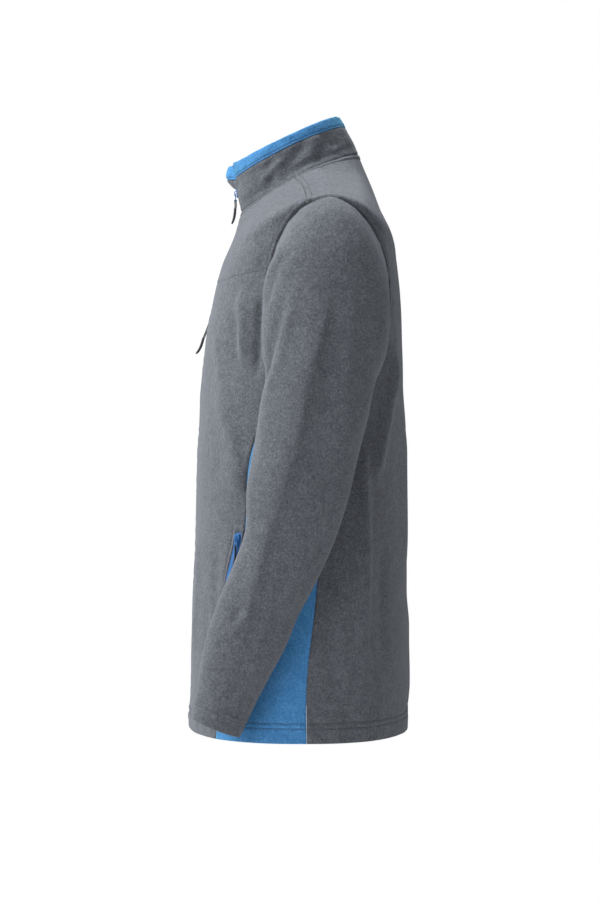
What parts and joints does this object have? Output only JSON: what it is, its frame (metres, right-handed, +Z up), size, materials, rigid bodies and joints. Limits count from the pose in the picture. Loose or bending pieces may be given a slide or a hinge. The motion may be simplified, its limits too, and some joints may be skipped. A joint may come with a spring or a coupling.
{
  "type": "fleece zip jacket",
  "caption": "Fleece jacket with a stand collar, a full front zip, zipped chest and hand pockets, contrast side panels and long sleeves.",
  "frame": {"origin": "the middle of the neck base, where a wearer's neck and shoulders hold the jacket", "axes": "+X to the wearer's left, +Y to the wearer's back, +Z up"},
  "size_m": [0.591, 0.278, 0.7751],
  "materials": {
    "grey_fleece": "napped dark grey fleece",
    "blue_fleece": "napped bright blue fleece",
    "zip_tape": "woven blue tape with a nylon coil",
    "zip_metal": "blue enamelled die-cast metal",
    "puller_cord": "dark braided cord",
    "puller_grip": "dark matte moulding"
  },
  "bodies": {
    "jacket": {"front_left": "grey_fleece", "front_right": "grey_fleece", "yoke_left": "grey_fleece", "yoke_right": "grey_fleece", "back": "grey_fleece", "side_panel_left": "blue_fleece", "side_panel_right": "blue_fleece", "sleeve_left": "grey_fleece", "sleeve_right": "grey_fleece", "collar": "grey_fleece", "collar_binding": "blue_fleece", "main_tape_left": "zip_tape", "main_tape_right": "zip_tape", "chest_zip": "zip_tape", "hand_zip_left": "zip_tape", "hand_zip_right": "zip_tape", "slider_main": "zip_metal", "slider_chest": "zip_metal", "slider_hand_left": "zip_metal", "slider_hand_right": "zip_metal"},
    "pull_main": {"tab_main": "zip_metal", "cord_main": "puller_cord", "grip_main": "puller_grip"},
    "pull_chest": {"tab_chest": "zip_metal", "cord_chest": "puller_cord", "grip_chest": "puller_grip"},
    "pull_hand_left": {"tab_hand_left": "zip_metal", "cord_hand_left": "puller_cord", "grip_hand_left": "puller_grip"},
    "pull_hand_right": {"tab_hand_right": "zip_metal", "cord_hand_right": "puller_cord", "grip_hand_right": "puller_grip"}
  },
  "joints": [
    {"name": "pull_main_swing", "type": "hinge", "parent": "jacket", "child": "pull_main", "pos_m": [0, -0.08237, -0.01229], "axis": [-1, 0, 0], "range_deg": [0, 130]},
    {"name": "pull_chest_swing", "type": "hinge", "parent": "jacket", "child": "pull_chest", "pos_m": [-0.06678, -0.11489, -0.15882], "axis": [-0.9899, 0.1414, 0], "range_deg": [0, 130]},
    {"name": "pull_hand_left_swing", "type": "hinge", "parent": "jacket", "child": "pull_hand_left", "pos_m": [0.17691, -0.0783, -0.44681], "axis": [-0.6409, -0.7676, 0], "range_deg": [0, 90]},
    {"name": "pull_hand_right_swing", "type": "hinge", "parent": "jacket", "child": "pull_hand_right", "pos_m": [-0.17691, -0.0783, -0.44681], "axis": [-0.6409, 0.7676, 0], "range_deg": [0, 90]}
  ]
}
